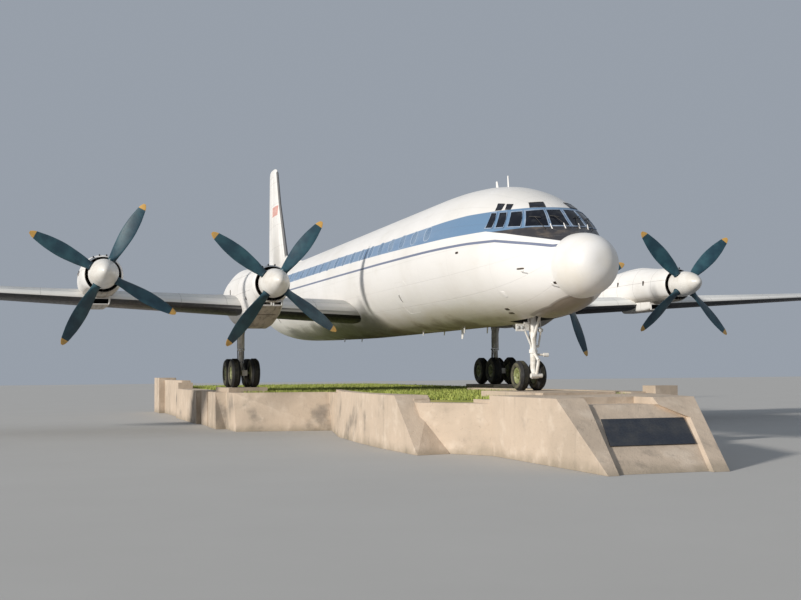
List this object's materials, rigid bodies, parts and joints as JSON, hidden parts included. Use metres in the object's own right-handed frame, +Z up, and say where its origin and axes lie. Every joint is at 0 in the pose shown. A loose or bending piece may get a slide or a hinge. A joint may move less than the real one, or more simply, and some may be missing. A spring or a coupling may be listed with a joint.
{
  "type": "narrow body airliner",
  "caption": "Low-wing propeller airliner with a round fuselage, twin-wheel nose gear and bogie main gear, standing on its wheels on a low walled plinth.",
  "frame": {"origin": "centre of the plinth's underside plane on the aircraft's plane of symmetry, straight below the main gear", "axes": "+X to the aircraft's left wing tip, +Y aft along the fuselage, +Z up"},
  "size_m": [37.4, 39.6, 11.47],
  "materials": {
    "white_paint": "weathered gloss",
    "grey_paint": "weathered satin",
    "cream_paint": "weathered satin",
    "blade_paint": "satin",
    "engine_casting": "rough",
    "gear_steel": "satin",
    "hub_paint": "satin",
    "tyre_rubber": "matt",
    "concrete": "rough",
    "plaque_paint": "weathered matt",
    "turf": "grass"
  },
  "bodies": {
    "airframe": {"fuselage": "white_paint", "radome": "white_paint", "wing_left": "grey_paint", "wing_right": "grey_paint", "fin": "white_paint", "tailplane_left": "white_paint", "tailplane_right": "white_paint", "nacelle_1": "white_paint", "nacelle_2": "white_paint", "nacelle_3": "white_paint", "nacelle_4": "white_paint", "engine_1": "engine_casting", "engine_2": "engine_casting", "engine_3": "engine_casting", "engine_4": "engine_casting", "main_leg_left": "gear_steel", "main_leg_right": "gear_steel", "nose_leg": "cream_paint", "plinth": "concrete", "plinth_turf": "turf", "plaque": "plaque_paint"},
    "propeller_1": {"propeller_1": "blade_paint", "spinner_1": "cream_paint"},
    "propeller_2": {"propeller_2": "blade_paint", "spinner_2": "cream_paint"},
    "propeller_3": {"propeller_3": "blade_paint", "spinner_3": "cream_paint"},
    "propeller_4": {"propeller_4": "blade_paint", "spinner_4": "cream_paint"},
    "nose_steering": {"nose_fork": "cream_paint"},
    "nose_wheels": {"nose_hubs": "hub_paint", "nose_tyre_left": "tyre_rubber", "nose_tyre_right": "tyre_rubber"},
    "main_wheels_left_front": {"main_hubs_left_front": "hub_paint", "main_tyre_left_front_inner": "tyre_rubber", "main_tyre_left_front_outer": "tyre_rubber"},
    "main_wheels_left_rear": {"main_hubs_left_rear": "hub_paint", "main_tyre_left_rear_inner": "tyre_rubber", "main_tyre_left_rear_outer": "tyre_rubber"},
    "main_wheels_right_front": {"main_hubs_right_front": "hub_paint", "main_tyre_right_front_inner": "tyre_rubber", "main_tyre_right_front_outer": "tyre_rubber"},
    "main_wheels_right_rear": {"main_hubs_right_rear": "hub_paint", "main_tyre_right_rear_inner": "tyre_rubber", "main_tyre_right_rear_outer": "tyre_rubber"},
    "rudder": {"rudder": "white_paint"},
    "elevator_left": {"elevator_left": "white_paint"},
    "elevator_right": {"elevator_right": "white_paint"},
    "aileron_left": {"aileron_left": "grey_paint"},
    "aileron_right": {"aileron_right": "grey_paint"}
  },
  "joints": [
    {"name": "propeller_1_spin", "type": "hinge", "parent": "airframe", "child": "propeller_1", "pos_m": [9.16, -4.82, 4.54], "axis": [0, 1, 0], "continuous": true},
    {"name": "propeller_2_spin", "type": "hinge", "parent": "airframe", "child": "propeller_2", "pos_m": [4.5, -5.44, 4.31], "axis": [0, 1, 0], "continuous": true},
    {"name": "propeller_3_spin", "type": "hinge", "parent": "airframe", "child": "propeller_3", "pos_m": [-4.5, -5.44, 4.31], "axis": [0, 1, 0], "continuous": true},
    {"name": "propeller_4_spin", "type": "hinge", "parent": "airframe", "child": "propeller_4", "pos_m": [-9.16, -4.82, 4.54], "axis": [0, 1, 0], "continuous": true},
    {"name": "nose_steering", "type": "hinge", "parent": "airframe", "child": "nose_steering", "pos_m": [0, -12.99, 1.6503], "axis": [0, 0, 1], "range_deg": [-45, 45]},
    {"name": "nose_wheels_roll", "type": "hinge", "parent": "nose_steering", "child": "nose_wheels", "pos_m": [0, -12.71, 1.6503], "axis": [1, 0, 0], "continuous": true},
    {"name": "main_wheels_left_front_roll", "type": "hinge", "parent": "airframe", "child": "main_wheels_left_front", "pos_m": [4.5, -0.56, 1.7653], "axis": [1, 0, 0], "continuous": true},
    {"name": "main_wheels_left_rear_roll", "type": "hinge", "parent": "airframe", "child": "main_wheels_left_rear", "pos_m": [4.5, 0.56, 1.7653], "axis": [1, 0, 0], "continuous": true},
    {"name": "main_wheels_right_front_roll", "type": "hinge", "parent": "airframe", "child": "main_wheels_right_front", "pos_m": [-4.5, -0.56, 1.7653], "axis": [1, 0, 0], "continuous": true},
    {"name": "main_wheels_right_rear_roll", "type": "hinge", "parent": "airframe", "child": "main_wheels_right_rear", "pos_m": [-4.5, 0.56, 1.7653], "axis": [1, 0, 0], "continuous": true},
    {"name": "rudder_hinge", "type": "hinge", "parent": "airframe", "child": "rudder", "pos_m": [0, 16.15, 8], "axis": [0, 0, 1], "range_deg": [-25, 25]},
    {"name": "elevator_left_hinge", "type": "hinge", "parent": "airframe", "child": "elevator_left", "pos_m": [3.4, 15.75, 5.2], "axis": [1, 0, 0], "range_deg": [-15, 28]},
    {"name": "elevator_right_hinge", "type": "hinge", "parent": "airframe", "child": "elevator_right", "pos_m": [-3.4, 15.75, 5.2], "axis": [1, 0, 0], "range_deg": [-15, 28]},
    {"name": "aileron_left_hinge", "type": "hinge", "parent": "airframe", "child": "aileron_left", "pos_m": [12.3, 0.53, 4.243], "axis": [0.9986, -0.018, 0.0493], "range_deg": [-20, 20]},
    {"name": "aileron_right_hinge", "type": "hinge", "parent": "airframe", "child": "aileron_right", "pos_m": [-12.3, 0.53, 4.243], "axis": [0.9986, 0.018, -0.0493], "range_deg": [-20, 20]}
  ],
  "couplings": [
    {"joint": "elevator_right_hinge", "follows": "elevator_left_hinge", "ratio": 1},
    {"joint": "aileron_right_hinge", "follows": "aileron_left_hinge", "ratio": -1}
  ]
}
